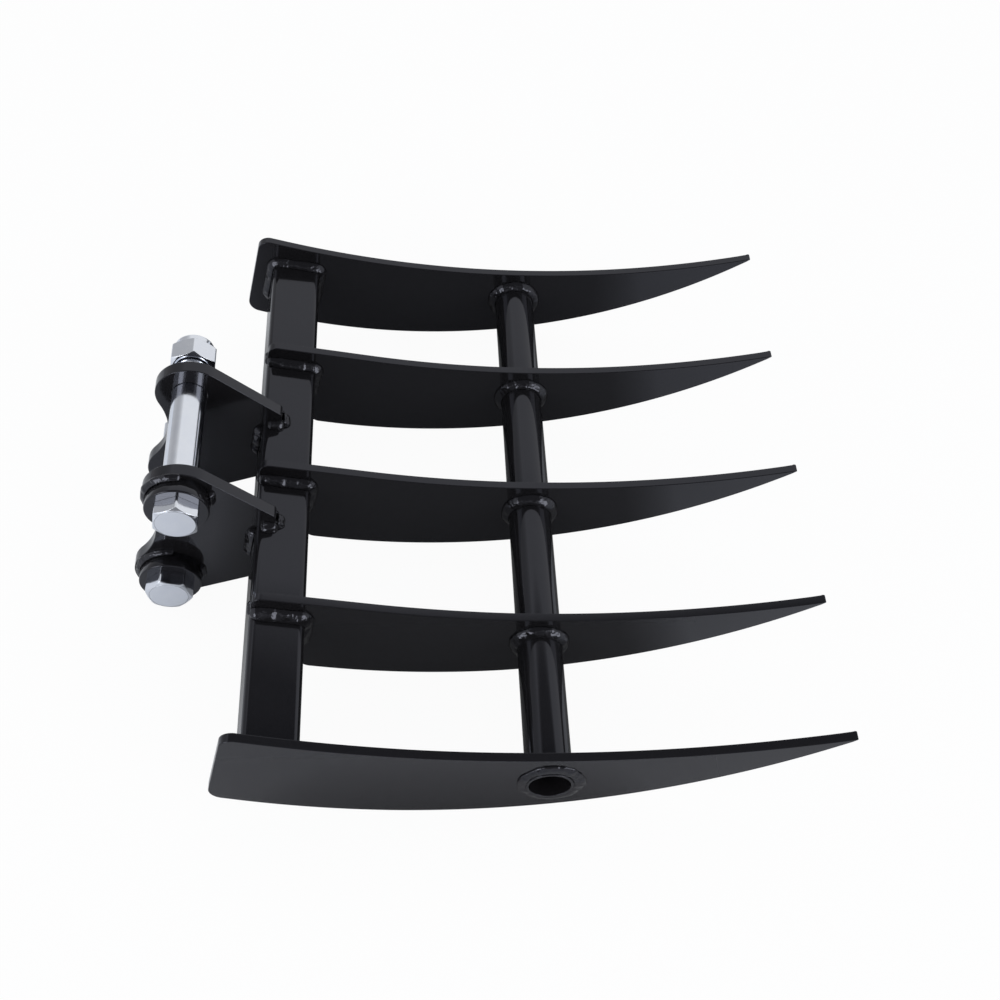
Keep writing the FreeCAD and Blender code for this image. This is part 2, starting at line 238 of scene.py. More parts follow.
def rounded_outline(path):
    """Closed outline from a list of (x, z, corner radius). A corner with a radius is rounded."""
    points = [Vector((x, z)) for x, z, r in path]
    radii = [r for x, z, r in path]
    count = len(points)
    dropped = set()
    arcs = {}
    for i, radius in enumerate(radii):
        if radius <= 0:
            continue
        corner = points[i]
        before = (points[i - 1] - corner).normalized()
        after = (points[(i + 1) % count] - corner).normalized()
        half = math.acos(max(-1, min(1, before.dot(after)))) / 2
        setback = radius / math.tan(half)
        for step in (-1, 1):
            k = (i + step) % count
            while radii[k] <= 0 and (points[k] - corner).length < setback * 1.05:
                dropped.add(k)
                k = (k + step) % count
        centre = corner + (before + after).normalized() * radius / math.sin(half)
        start = corner + before * setback - centre
        end = corner + after * setback - centre
        first = math.atan2(start.y, start.x)
        turn = (math.atan2(end.y, end.x) - first + math.pi) % (2 * math.pi) - math.pi
        steps = max(3, int(abs(math.degrees(turn)) / ARC_STEP))
        turns = [first + turn * k / steps for k in range(steps + 1)]
        arcs[i] = [centre + Vector((math.cos(t), math.sin(t))) * radius for t in turns]
    outline = []
    for i, point in enumerate(points):
        if i in arcs:
            outline.extend(arcs[i])
        elif i not in dropped:
            outline.append(point)
    return outline


top_centre = (TOP_LOW[0], TOP_LOW[1] + TOP_RADIUS)
bottom_centre = (BOTTOM_LOW[0], BOTTOM_LOW[1] + BOTTOM_RADIUS)
under_top = (top_centre[0], top_centre[1] - TIP_THICKNESS)
tip_low = circles_meet(under_top, TOP_RADIUS, bottom_centre, BOTTOM_RADIUS, 1)


def edge_run(centre, radius, x_from, x_to):
    """Points along a tine's curved edge, none of them a rounded corner."""
    return [(x, below(centre, radius, x), 0) for x in between(x_from, x_to, EDGE_STEPS)]


def top_run(x_to):
    return edge_run(top_centre, TOP_RADIUS, tip_low[0] - TIP_RUN, x_to)


def bottom_run(x_from):
    return edge_run(bottom_centre, BOTTOM_RADIUS, x_from, tip_low[0] - TIP_RUN)


def tip_end():
    """Blunt end of a tine, from its lower to its upper corner."""
    x, z = tip_low
    return [(x, z, TIP_CORNER), (x, z + TIP_THICKNESS, TIP_CORNER)]


def end_tine_outline():
    lean = 90 - REAR_LEAN
    rear_top = line_meets_circle((-REAR_OFFSET, 0), lean, top_centre, TOP_RADIUS)
    rear_low = line_meets_circle((-REAR_OFFSET, 0), lean, bottom_centre, BOTTOM_RADIUS)
    path = tip_end()
    path += top_run(rear_top[0] + CORNER_GAP)
    path += [(*rear_top, REAR_TOP_CORNER), (*rear_low, REAR_BOTTOM_CORNER)]
    path += bottom_run(rear_low[0] + CORNER_GAP)
    return rounded_outline(path)


def inner_tine_outline():
    leaving = (LUG_STRAIGHT_FROM, below(top_centre, TOP_RADIUS, LUG_STRAIGHT_FROM))
    slope = (leaving[0] - top_centre[0]) / (top_centre[1] - leaving[1])
    lug_end = -HALF_TUBE + LUG_SETBACK
    lug_top = leaving[1] + slope * (lug_end - leaving[0])
    heel = below(bottom_centre, BOTTOM_RADIUS, HALF_TUBE)
    path = tip_end()
    path += top_run(leaving[0])
    path += [(lug_end, lug_top, LUG_CORNER), (lug_end, HALF_TUBE, SMALL_CORNER)]
    path += [(HALF_TUBE, HALF_TUBE, SMALL_CORNER), (HALF_TUBE, heel, HEEL_CORNER)]
    path += bottom_run(HALF_TUBE + CORNER_GAP)
    return rounded_outline(path)


def tangent_angle(point, centre, radius):
    """Slope of the line from a point that touches a circle on its upper side."""
    apart = math.hypot(centre[0] - point[0], centre[1] - point[1])
    return bearing(point, centre) - math.degrees(math.asin(radius / apart))


def arc_run(centre, radius, angle_from, angle_to, count):
    """Points along an arc, none of them a rounded corner."""
    return [(*on_circle(centre, radius, a), 0) for a in between(angle_from, angle_to, count)]


def shifted(place, shift):
    return place[0] + shift[0], place[1] + shift[1]


def ear_outline():
    upper = shifted(UPPER_PIN, UPPER_EYE_SHIFT)
    lower = shifted(LOWER_PIN, LOWER_EYE_SHIFT)
    hook_front = -HALF_TUBE + HOOK_REACH
    hook_top = (hook_front, HALF_TUBE + HOOK_HEIGHT)
    top_touch = tangent_angle(hook_top, upper, UPPER_EYE_RADIUS) - 90
    lower_reach = LOWER_EYE_RADIUS + WAIST_RADIUS
    upper_reach = UPPER_EYE_RADIUS + WAIST_RADIUS
    waist = circles_meet(lower, lower_reach, upper, upper_reach, 1)
    low_touch = (LOWER_SLOPE - 90) % 360
    touch = on_circle(lower, LOWER_EYE_RADIUS, low_touch)
    tongue_end = -HALF_TUBE + TONGUE_REACH
    drop = (tongue_end - touch[0]) * math.tan(math.radians(LOWER_SLOPE))
    flat = HALF_TUBE - TUBE_CORNER
    path = [(hook_front, HALF_TUBE, SMALL_CORNER), (*hook_top, HOOK_CORNER)]
    path += arc_run(upper, UPPER_EYE_RADIUS, top_touch, bearing(upper, waist) % 360, EYE_STEPS)
    waist_run = arc_run(waist, WAIST_RADIUS, bearing(waist, upper), bearing(waist, lower), WAIST_STEPS)
    path += waist_run[1:-1]
    path += arc_run(lower, LOWER_EYE_RADIUS, bearing(lower, waist) % 360, low_touch, EYE_STEPS)
    path += [(tongue_end, touch[1] + drop, HOOK_CORNER), (tongue_end, -HALF_TUBE, SMALL_CORNER)]
    path += arc_run((-flat, -flat), TUBE_CORNER, 270, 180, HOOK_STEPS)
    path += arc_run((-flat, flat), TUBE_CORNER, 180, 90, HOOK_STEPS)
    return rounded_outline(path)


def circle_outline(centre, radius):
    return [Vector(on_circle(centre, radius, 360 * k / HOLE_STEPS)) for k in range(HOLE_STEPS)]


def tube_outline(side, corner):
    half = side / 2
    path = [(half, half, corner), (-half, half, corner), (-half, -half, corner), (half, -half, corner)]
    return rounded_outline(path)


# Meshes
MITRE_LIMIT = 0.5
FLAT_FACE_WEIGHT = 90
SAME_POINT = 1e-6


def signed_area(loop):
    return sum(loop[i - 1].x * p.y - p.x * loop[i - 1].y for i, p in enumerate(loop)) / 2


def outward_normals(loop):
    """Unit normals of a closed side-view loop that point away from what it encloses."""
    sign = 1 if signed_area(loop) > 0 else -1
    normals = []
    for i in range(len(loop)):
        back = (loop[i] - loop[i - 1]).normalized()
        on = (loop[(i + 1) % len(loop)] - loop[i]).normalized()
        tangent = (back + on).normalized()
        stretch = 1 / max(MITRE_LIMIT, tangent.dot(on))
        normals.append(Vector((tangent.y, -tangent.x)) * sign * stretch)
    return normals


def inside(point, hole):
    """True where a point lies inside a round hole's outline."""
    centre = sum(hole, Vector((0, 0))) / len(hole)
    return (point - centre).length < (hole[0] - centre).length


def mesh_volume(mesh):
    """Six times the volume that a mesh encloses, negative where its faces look inward."""
    mesh.calc_loop_triangles()
    total = 0.0
    for triangle in mesh.loop_triangles:
        a, b, c = [mesh.vertices[k].co for k in triangle.vertices]
        total += a.dot(b.cross(c))
    return total


def add_piece(name, shell, material, replaced):
    """Piece of the rake in the frame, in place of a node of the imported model."""
    mesh = bpy.data.meshes.new(name)
    mesh.from_pydata([tuple(TO_FRAME @ v) for v in shell.vertices], [], shell.faces)
    mesh.validate()
    mesh.shade_smooth()
    mesh.materials.append(material)
    piece = bpy.data.objects.new(name, mesh)
    bpy.context.scene.collection.objects.link(piece)
    if mesh_volume(mesh) < 0:
        mesh.flip_normals()
    modifier = piece.modifiers.new("flat_faces", "WEIGHTED_NORMAL")
    modifier.weight = FLAT_FACE_WEIGHT
    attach(piece, "root")
    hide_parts(replaced)


class Shell:
    """Vertices and faces of a piece, added to part by part."""

    def __init__(self):
        self.vertices = []
        self.faces = []

    def ring(self, points):
        first = len(self.vertices)
        self.vertices.extend(points)
        return list(range(first, first + len(points)))

    def bridge(self, ring_a, ring_b):
        count = len(ring_a)
        for i in range(count):
            j = (i + 1) % count
            self.faces.append((ring_a[i], ring_a[j], ring_b[j], ring_b[i]))

    def fan(self, ring, point):
        self.vertices.append(point)
        middle = len(self.vertices) - 1
        for i in range(len(ring)):
            self.faces.append((ring[i], ring[(i + 1) % len(ring)], middle))


def round_profile(half, rim):
    """(inset, y) from the face at +half round the rim to the face at -half."""
    angles = [math.radians(90 - 90 * k / RIM_STEPS) for k in range(RIM_STEPS + 1)]
    upper = [(rim * (1 - math.cos(a)), half - rim * (1 - math.sin(a))) for a in angles]
    return upper + [(inset, -y) for inset, y in reversed(upper)]


def fill_face(shell, cap, holes, flip):
    """Faces inside a plate's outline, the first ring of cap, and outside its round holes."""
    flat = [k for ring in cap for k in ring]
    spots = [Vector((shell.vertices[k].x, shell.vertices[k].z)) for k in flat]
    edges = []
    first = 0
    for ring in cap:
        edges += [(first + i, first + (i + 1) % len(ring)) for i in range(len(ring))]
        first += len(ring)
    outline = [list(range(len(cap[0])))]
    found = geometry.delaunay_2d_cdt(spots, edges, outline, 1, SAME_POINT)
    for face in found[2]:
        centre = sum((found[0][k] for k in face), Vector((0, 0))) / len(face)
        if any(inside(centre, hole) for hole in holes):
            continue
        face = tuple(flat[found[3][k][0]] for k in face)
        shell.faces.append(face if flip else face[::-1])


def plate_shell(outer, holes, y_middle, thickness, shape_ring=None, rim_share=None):
    """Flat plate with rounded rims. shape_ring moves the outline's points, rim_share narrows its rim."""
    shell = Shell()
    caps = ([], [])
    for number, loop in enumerate([outer] + holes):
        normals = outward_normals(loop)
        inward = -1 if number == 0 else 1
        rings = []
        for inset, y in round_profile(thickness / 2, PLATE_RIM):
            points = []
            for p, n in zip(loop, normals):
                share = rim_share(p) if rim_share and number == 0 else 1.0
                q = p + n * inward * inset * share
                points.append(Vector((q.x, y_middle + y, q.y)))
            if shape_ring and number == 0:
                points = [shape_ring(p, inset / PLATE_RIM) for p in points]
            rings.append(shell.ring(points))
        for a, b in zip(rings, rings[1:]):
            if number == 0:
                shell.bridge(a, b)
            else:
                shell.bridge(b, a)
        caps[0].append(rings[0])
        caps[1].append(rings[-1])
    fill_face(shell, caps[0], holes, False)
    fill_face(shell, caps[1], holes, True)
    return shell


def lathe_shell(place, profile):
    """Round piece about a line along Y, from a closed list of (radius, y)."""
    shell = Shell()
    rings = []
    for radius, y in profile:
        points = []
        for k in range(LATHE_STEPS):
            x, z = on_circle(place, radius, 360 * k / LATHE_STEPS)
            points.append(Vector((x, y, z)))
        rings.append(shell.ring(points))
    for a, b in zip(rings, rings[1:] + rings[:1]):
        shell.bridge(a, b)
    return shell


def hex_radius(angle, flats):
    """Radius of a hexagon with slightly rounded corners, at an angle from one of its corners."""
    off = math.radians((angle % 60) - 30)
    straight = flats / 2 / math.cos(off)
    blunt = flats / 2 / math.cos(math.radians(30)) - HEX_EDGE_LOSS
    over = straight - blunt + HEX_EDGE_BLEND
    if over < 0:
        return straight
    return blunt - HEX_EDGE_BLEND + HEX_EDGE_BLEND * math.tanh(over / HEX_EDGE_BLEND)


# Materials
COAT_SHADE = (0.0075, 0.0072, 0.0080)
# Bluish tint of the coat's reflections: a painted reflection colour that stands in for bluish light,
# which the white world does not give to reflections
COAT_PAINTED_BLUE_REFLECTION = (0.82, 0.85, 1.0)
COAT_IOR = 1.5
ZINC_SHADE = (0.84, 0.87, 0.93)
ZINC_DARK = (0.77, 0.81, 0.90)
ZINC_LIGHT = (0.88, 0.91, 0.97)


def new_material(name, color, metallic, roughness):
    material = bpy.data.materials.new(name)
    material.use_nodes = True
    shader = material.node_tree.nodes["Principled BSDF"]
    shader.inputs["Base Color"].default_value = (*color, 1)
    shader.inputs["Metallic"].default_value = metallic
    shader.inputs["Roughness"].default_value = roughness
    return material, material.node_tree, shader


def noise_texture(tree, scale, detail, stretch=(1, 1, 1)):
    place = tree.nodes.new("ShaderNodeTexCoord")
    spread = tree.nodes.new("ShaderNodeMapping")
    spread.inputs["Scale"].default_value = stretch
    texture = tree.nodes.new("ShaderNodeTexNoise")
    texture.inputs["Scale"].default_value = scale
    texture.inputs["Detail"].default_value = detail
    tree.links.new(place.outputs["Object"], spread.inputs["Vector"])
    tree.links.new(spread.outputs["Vector"], texture.inputs["Vector"])
    return texture.outputs["Fac"]


def ranged(tree, value, low, high, to_low, to_high):
    """Map of a texture's value onto a range."""
    node = tree.nodes.new("ShaderNodeMapRange")
    node.inputs["From Min"].default_value = low
    node.inputs["From Max"].default_value = high
    node.inputs["To Min"].default_value = to_low
    node.inputs["To Max"].default_value = to_high
    tree.links.new(value, node.inputs["Value"])
    return node.outputs["Result"]


def tinted(tree, shader, share, first, second):
    """Base colour that wanders between two shades."""
    tint = tree.nodes.new("ShaderNodeMixRGB")
    tint.inputs["Color1"].default_value = (*first, 1)
    tint.inputs["Color2"].default_value = (*second, 1)
    tree.links.new(share, tint.inputs["Fac"])
    tree.links.new(tint.outputs["Color"], shader.inputs["Base Color"])


def bumped(tree, shader, value, strength, distance):
    bump = tree.nodes.new("ShaderNodeBump")
    bump.inputs["Strength"].default_value = strength
    bump.inputs["Distance"].default_value = distance
    tree.links.new(value, bump.inputs["Height"])
    tree.links.new(bump.outputs["Normal"], shader.inputs["Normal"])


def material_black(name, roughness, orange_peel, grain, depth):
    """Powder coat: deep black, a fine orange peel, patches that are a little duller than others, and a
    painted bluish tint in its reflections.
    """
    material, tree, shader = new_material(name, COAT_SHADE, 0.0, roughness)
    shader.inputs["IOR"].default_value = COAT_IOR
    # Painted bluish tint on the coat's reflections, in place of bluish light
    shader.inputs["Specular Tint"].default_value = (*COAT_PAINTED_BLUE_REFLECTION, 1)
    patches = noise_texture(tree, 38.0, 3.0)
    dullness = ranged(tree, patches, 0.3, 0.7, roughness * 0.8, roughness * 1.35)
    tree.links.new(dullness, shader.inputs["Roughness"])
    darker = [c * 0.8 for c in COAT_SHADE]
    lighter = [c * 1.3 for c in COAT_SHADE]
    tinted(tree, shader, noise_texture(tree, 420.0, 4.0), darker, lighter)
    bumped(tree, shader, noise_texture(tree, grain, 1.5), orange_peel, depth)
    return material


def material_zinc(name):
    """Bright zinc plate: bluish white, with a faint cloudy grain and fine turning marks."""
    material, tree, shader = new_material(name, ZINC_SHADE, 1.0, 0.2)
    cloud = noise_texture(tree, 140.0, 5.0)
    tree.links.new(ranged(tree, cloud, 0.3, 0.7, 0.09, 0.18), shader.inputs["Roughness"])
    tinted(tree, shader, cloud, ZINC_DARK, ZINC_LIGHT)
    bumped(tree, shader, noise_texture(tree, 260.0, 3.0, (1, 6, 1)), 0.10, 0.00006)
    return material


black = material_black("black_coat", 0.075, 0.07, 620.0, 0.00012)
black_weld = material_black("black_coat_on_weld", 0.06, 0.55, 430.0, 0.0007)
zinc = material_zinc("bright_zinc")


def black_piece(name, shell, replaced):
    add_piece(name, shell, black, replaced)


def zinc_piece(name, shell, replaced):
    add_piece(name, shell, zinc, replaced)


def bead_piece(name, shell, replaced):
    add_piece(name, shell, black_weld, replaced)


# Tines
def blunt_tip(point, inset_share):
    """Rounds the corners of a tine's tip in plan."""
    near = max(0.0, min(1.0, 1 - (tip_low[0] - point.x) / TIP_ROUND_REACH))
    pull = TIP_ROUND * inset_share * near * near * (3 - 2 * near)
    return Vector((point.x - pull, point.y, point.z))


def thin_rim(point):
    """Share of the rim's rounding that fits where a tine gets thin."""
    away = max(0.0, min(1.0, (tip_low[0] - point.x) / THIN_RIM_REACH))
    return THIN_RIM_SHARE + (1 - THIN_RIM_SHARE) * away


def risen(outline, rise):
    """Outline of a tine whose front half was bent up a little, by rise at its tip."""
    bent = []
    for p in outline:
        share = max(0.0, (p.x - BEND_FROM) / (tip_low[0] - BEND_FROM))
        lift = rise * share ** BEND_GROWTH
        bent.append(Vector((p.x - BEND_PULL * lift, p.y + lift)))
    return bent


def swung(reach):
    """Shape of a tine whose rear end was drawn aside by its welds, by reach at the crossbar."""
    def shape(point, inset_share):
        point = blunt_tip(point, inset_share)
        point.y += reach * max(0.0, 1 - max(0.0, point.x) / SWING_TO)
        return point
    return shape


pipe_hole = circle_outline(PIPE_PLACE, PIPE_OUTER / 2 + PIPE_HOLE_GAP)
for hand, y, rise in (("left_end", END_TINE_Y, 0.0), ("right_end", -END_TINE_Y, NEAR_TIP_RISE)):
    outline = risen(end_tine_outline(), rise)
    shell = plate_shell(outline, [pipe_hole], y, TINE_PLATE, blunt_tip, thin_rim)
    black_piece("tine_plate_" + hand, shell, "tine_" + hand)
for hand, y in INNER_TINES:
    shape = swung(SWING.get(hand, 0.0))
    shell = plate_shell(inner_tine_outline(), [pipe_hole], y, TINE_PLATE, shape, thin_rim)
    black_piece("tine_plate_" + hand, shell, "tine_" + hand)

# Ears
for hand, side in (("left", 1), ("right", -1)):
    y = EAR_MIDDLE + side * (EAR_GAP + EAR_PLATE) / 2
    eyes = [circle_outline(place, PIN_DIAMETER / 2 + PIN_GAP) for place in (UPPER_PIN, LOWER_PIN)]
    shell = plate_shell(ear_outline(), eyes, y, EAR_PLATE)
    black_piece("ear_plate_" + hand, shell, "hitch_ear_" + hand)


# Crossbar and brace pipe
def turned(point, angle):
    turn = math.radians(angle)
    return Vector((point.x * math.cos(turn) - point.y * math.sin(turn),
                   point.x * math.sin(turn) + point.y * math.cos(turn)))


def tube_shell():
    """Square tube, open at both ends: the ring at each end outside, then the same inside."""
    shell = Shell()
    y = END_TINE_Y - HALF_PLATE
    outer = tube_outline(TUBE_SIDE, TUBE_CORNER)
    inner = tube_outline(TUBE_SIDE - 2 * TUBE_WALL, TUBE_INNER_CORNER)
    rings = []
    for outline, end in ((outer, y), (outer, -y), (inner, -y), (inner, y)):
        loop = [turned(p, TUBE_TURN) for p in outline]
        rings.append(shell.ring([Vector((p.x, end, p.y)) for p in loop]))
    for first, second in zip(rings, rings[1:] + rings[:1]):
        shell.bridge(first, second)
    return shell


def rounded_profile(corners):
    """Closed (radius, y) profile with each (radius, y, rounding) corner rounded."""
    points = []
    count = len(corners)
    for i, (r, y, rounding) in enumerate(corners):
        corner = Vector((r, y))
        if rounding <= 0:
            points.append((r, y))
            continue
        before = (Vector(corners[i - 1][:2]) - corner).normalized()
        after = (Vector(corners[(i + 1) % count][:2]) - corner).normalized()
        start = corner + before * rounding
        end = corner + after * rounding
        for k in range(RIM_STEPS + 1):
            t = k / RIM_STEPS
            points.append(tuple(start * (1 - t) ** 2 + corner * 2 * t * (1 - t) + end * t ** 2))
    return points


pipe_end = OVERALL_WIDTH / 2 + PIPE_STAND_OUT
pipe_outer = PIPE_OUTER / 2
pipe_bore = pipe_outer - PIPE_WALL
pipe_profile = rounded_profile([(pipe_outer, -pipe_end, PIPE_RIM),
                                (pipe_outer, pipe_end, PIPE_RIM),
                                (pipe_bore, pipe_end, PIPE_BORE_RIM),
                                (pipe_bore, -pipe_end, PIPE_BORE_RIM)])
black_piece("pipe", lathe_shell(PIPE_PLACE, pipe_profile), "brace_pipe")
black_piece("square_tube", tube_shell(), "crossbar_tube")

# Collars, pins and nuts of the hitch
ear_outer_face = EAR_MIDDLE - EAR_GAP / 2 - EAR_PLATE
head_seat = ear_outer_face - BOSS_LENGTH
nut_seat = EAR_MIDDLE + EAR_GAP / 2 + EAR_PLATE + SHOULDER_STAND_OUT

# The chamfer of a hexagon: how far inside its circle the rings of the flat face lie, how far the
# second of them drops, and how the rings on either side of the chamfer's edge soften it
FACE_RING = 0.5
EDGE_RING = 0.12
EDGE_DROP = 0.02
CHAMFER_SHARE = 0.93
CHAMFER_SCALE = 0.993
CHAMFER_DROP = 0.16


def hex_ring(place, turn, depth_of, y_face, outward, flats, radius_scale=1.0):
    """Ring of points round a hexagon, each as deep below the face as its radius asks."""
    points = []
    for k in range(HEX_STEPS):
        angle = 360 * k / HEX_STEPS
        radius = hex_radius(angle, flats) * radius_scale
        x, z = on_circle(place, radius, angle + turn)
        points.append(Vector((x, y_face - outward * depth_of(radius), z)))
    return points


def round_ring(place, turn, radius, y):
    points = []
    for k in range(HEX_STEPS):
        x, z = on_circle(place, radius, 360 * k / HEX_STEPS + turn)
        points.append(Vector((x, y, z)))
    return points


def cone_depth(radius, circle):
    return max(0.0, radius - circle / 2) * math.tan(math.radians(HEX_SLOPE))


def hex_face_rings(shell, place, turn, y_face, outward, flats, circle):
    """Rings from the flat of a hexagon's face out over its chamfer to its sides."""
    half = circle / 2

    def shallow(radius):
        return cone_depth(radius, circle) * CHAMFER_SHARE + EDGE_DROP

    def deep(radius):
        return cone_depth(radius, circle) + CHAMFER_DROP

    return [shell.ring(round_ring(place, turn, half - FACE_RING, y_face)),
            shell.ring(round_ring(place, turn, half - EDGE_RING, y_face - outward * EDGE_DROP)),
            shell.ring(hex_ring(place, turn, shallow, y_face, outward, flats, CHAMFER_SCALE)),
            shell.ring(hex_ring(place, turn, deep, y_face, outward, flats))]


def thread_ring(place, turn, y, root, end):
    """Ring of points across the helical thread of a pin, which runs out in a chamfer at its end."""
    chamfer = min(1.0, max(0.0, (end - y) / THREAD_CHAMFER))
    crest = THREAD_DEPTH * (THREAD_END_SHARE + (1 - THREAD_END_SHARE) * chamfer)
    points = []
    for k in range(HEX_STEPS):
        phase = ((y - nut_seat) / THREAD_PITCH - k / HEX_STEPS) % 1
        ridge = max(0.0, min(1.0, THREAD_CREST - abs(phase - 0.5) * THREAD_FLANK))
        radius = root + crest * ridge - (1 - chamfer) * THREAD_END_TAPER
        x, z = on_circle(place, radius, 360 * k / HEX_STEPS + turn)
        points.append(Vector((x, y, z)))
    return points


def pin_shell(place, turn):
    """Pin from its hexagon head over its shank and shoulder to its threaded end."""
    shell = Shell()
    face = head_seat - HEAD_HEIGHT

    def above_seat(radius):
        return HEAD_HEIGHT - HEAD_EDGE

    def at_seat(radius):
        return HEAD_HEIGHT

    rings = hex_face_rings(shell, place, turn, face, -1, HEX_FLATS, HEX_CIRCLE)
    shell.fan(rings[0], Vector((place[0], face, place[1])))
    rings.append(shell.ring(hex_ring(place, turn, above_seat, face, -1, HEX_FLATS)))
    rings.append(shell.ring(hex_ring(place, turn, at_seat, face, -1, HEX_FLATS, HEAD_EDGE_SCALE)))
    half = PIN_DIAMETER / 2
    root = THREAD_DIAMETER / 2 - THREAD_GAP - THREAD_DEPTH
    end = nut_seat + NUT_HEIGHT + THREAD_STAND_OUT
    for radius, y in ((half, head_seat), (half, nut_seat - SHOULDER_EDGE),
                      (half - SHOULDER_EDGE, nut_seat), (root, nut_seat)):
        rings.append(shell.ring(round_ring(place, turn, radius, y)))
    y = nut_seat + THREAD_PITCH
    while y < end - THREAD_LAST_GAP:
        rings.append(shell.ring(thread_ring(place, turn, y, root, end)))
        y += THREAD_PITCH / THREAD_STEPS
    rings.append(shell.ring(round_ring(place, turn, root - THREAD_END_INSET, end)))
    for first, second in zip(rings, rings[1:]):
        shell.bridge(first, second)
    shell.fan(rings[-1], Vector((place[0], end, place[1])))
    return shell


def nut_shell(place, turn):
    """Locking nut: a hexagon, then a rounded collar with an open mouth, round a plain bore."""
    shell = Shell()
    bore = THREAD_DIAMETER / 2 + NUT_BORE_GAP
    top = nut_seat + NUT_HEX_HEIGHT
    end = nut_seat + NUT_HEIGHT
    collar = NUT_COLLAR / 2
    mouth = NUT_MOUTH / 2
    rings = [shell.ring(round_ring(place, turn, bore, nut_seat))]
    rings += hex_face_rings(shell, place, turn, nut_seat, -1, NUT_FLATS, NUT_CIRCLE)
    rings += hex_face_rings(shell, place, turn, top, 1, NUT_FLATS, NUT_CIRCLE)[:1:-1]
    profile = [(collar + NUT_EDGE, top), (collar, top + NUT_FILLET)]
    for angle in between(0, 90, COLLAR_STEPS):
        inset = NUT_ROUND * (1 - math.cos(math.radians(angle)))
        drop = NUT_ROUND * (1 - math.sin(math.radians(angle)))
        profile.append((collar - inset, end - drop))
    profile += [(mouth + NUT_LIP, end - NUT_LIP), (mouth - NUT_LIP_INSET, end - NUT_EDGE),
                (mouth - NUT_LIP_INSET, top + NUT_POCKET_GAP),
                (bore + NUT_FILLET, top), (bore, top - NUT_EDGE)]
    for radius, y in profile:
        rings.append(shell.ring(round_ring(place, turn, radius, y)))
    for first, second in zip(rings, rings[1:] + rings[:1]):
        shell.bridge(first, second)
    return shell


for level, place, head_turn, nut_turn in (("upper", UPPER_PIN, UPPER_HEAD_TURN, UPPER_NUT_TURN),
                                          ("lower", LOWER_PIN, LOWER_HEAD_TURN, LOWER_NUT_TURN)):
    hole = PIN_DIAMETER / 2 + PIN_GAP
    outer = BOSS_OUTER / 2
    profile = rounded_profile([(hole, ear_outer_face, 0), (outer, ear_outer_face, 0),
                               (outer, head_seat, BOSS_RIM), (hole, head_seat, BOSS_BORE_RIM)])
    black_piece("collar_" + level, lathe_shell(place, profile), "boss_" + level)
    zinc_piece("pin_" + level, pin_shell(place, head_turn), "hitch_pin_" + level)
    zinc_piece("locknut_" + level, nut_shell(place, nut_turn), "nut_" + level)


# Weld beads
BEAD_STEP = 0.55
BEAD_SIDES = 12

# How a bead swells and thins along its run: long and short lumps, and the seam of a closed one
LONG_LUMP = 9.0
SHORT_LUMP = 3.6
SHORT_LUMP_SHARE = 0.6
SEAM_RUN = 6.0
SEAM_SWELL = 0.5
END_RUN = 0.8
END_STUB = 0.08

# Lumps and bowed ripples on its face
FACE_LUMP = 5.5
FACE_LUMP_WIDTH = 1.8
FACE_LUMP_SHARE = 0.8
RIPPLE_PITCH = 3.4
RIPPLE_BOW = 5.0
RIPPLE_DRIFT = 3.0
RIPPLE_DRIFT_RUN = 6.0


def wobble(seed, s, scale):
    return noise.noise(Vector((s / scale, seed * 7.31, seed * 1.7)))


def bead_size(s, seed, lump, closed):
    """Size of a bead at s, as a share of its leg."""
    size = 1.0 + lump * wobble(seed, s, LONG_LUMP)
    size += lump * SHORT_LUMP_SHARE * wobble(seed + 40, s, SHORT_LUMP)
    if not closed:
        return size
    blend = min(1.0, s / SEAM_RUN)
    return size * blend + (1 - blend) * (1.0 + lump * SEAM_SWELL)


def bead_end(s, length, leg):
    """Share of the full size near an open bead's ends, which are round."""
    near = min(1.0, min(s, length - s) / (leg * END_RUN))
    return math.sqrt(max(0.0, 1 - (1 - near) ** 2)) * (1 - END_STUB) + END_STUB


def add_bead(shell, run, leg, seed, closed=False, fullness=1.5, ripple=0.035, lump=0.13, lean=1.0):
    """Weld bead with soft ripples and lumps. A run is its length and its station(s), the corner at s
    and the two directions away from it."""
    length, station = run
    count = max(8, int(length / BEAD_STEP))
    rings = []
    for i in range(count + (0 if closed else 1)):
        s = length * i / count
        corner, side_a, side_b = station(s)
        size = bead_size(s, seed, lump, closed)
        end = 1.0 if closed else bead_end(s, length, leg)
        section = [corner - (side_a + side_b) * BEAD_BURIED]
        for j in range(BEAD_SIDES + 1):
            angle = math.radians(90 * j / BEAD_SIDES)
            bulge = (math.cos(angle) ** fullness + math.sin(angle) ** fullness) ** (-1 / fullness)
            across = j / BEAD_SIDES - 0.5
            phase = (s + across * across * RIPPLE_BOW) * 2 * math.pi / RIPPLE_PITCH
            wave = math.sin(phase + RIPPLE_DRIFT * wobble(seed + 9, s, RIPPLE_DRIFT_RUN))
            spot = Vector((s / FACE_LUMP, across * FACE_LUMP_WIDTH, seed * 3.3))
            face = noise.noise(spot) * lump * FACE_LUMP_SHARE
            middle = math.sin(2 * angle)
            radius = leg * end * (size * bulge + face * middle) + ripple * wave * middle * end
            along_a = math.cos(angle) * radius * lean
            along_b = math.sin(angle) * radius
            if j == 0:
                along_b -= BEAD_BURIED
            if j == BEAD_SIDES:
                along_a -= BEAD_BURIED
            section.append(corner + side_a * along_a + side_b * along_b)
        rings.append(shell.ring(section))
    for first, second in zip(rings, rings[1:]):
        shell.bridge(first, second)
    if closed:
        shell.bridge(rings[-1], rings[0])
        return
    for ring in (rings[0][::-1], rings[-1]):
        middle = sum((shell.vertices[k] for k in ring), Vector()) / len(ring)
        shell.fan(ring, middle)


def straight(start, end, side_a, side_b):
    def station(s):
        return start + (end - start).normalized() * s, side_a, side_b
    return (end - start).length, station


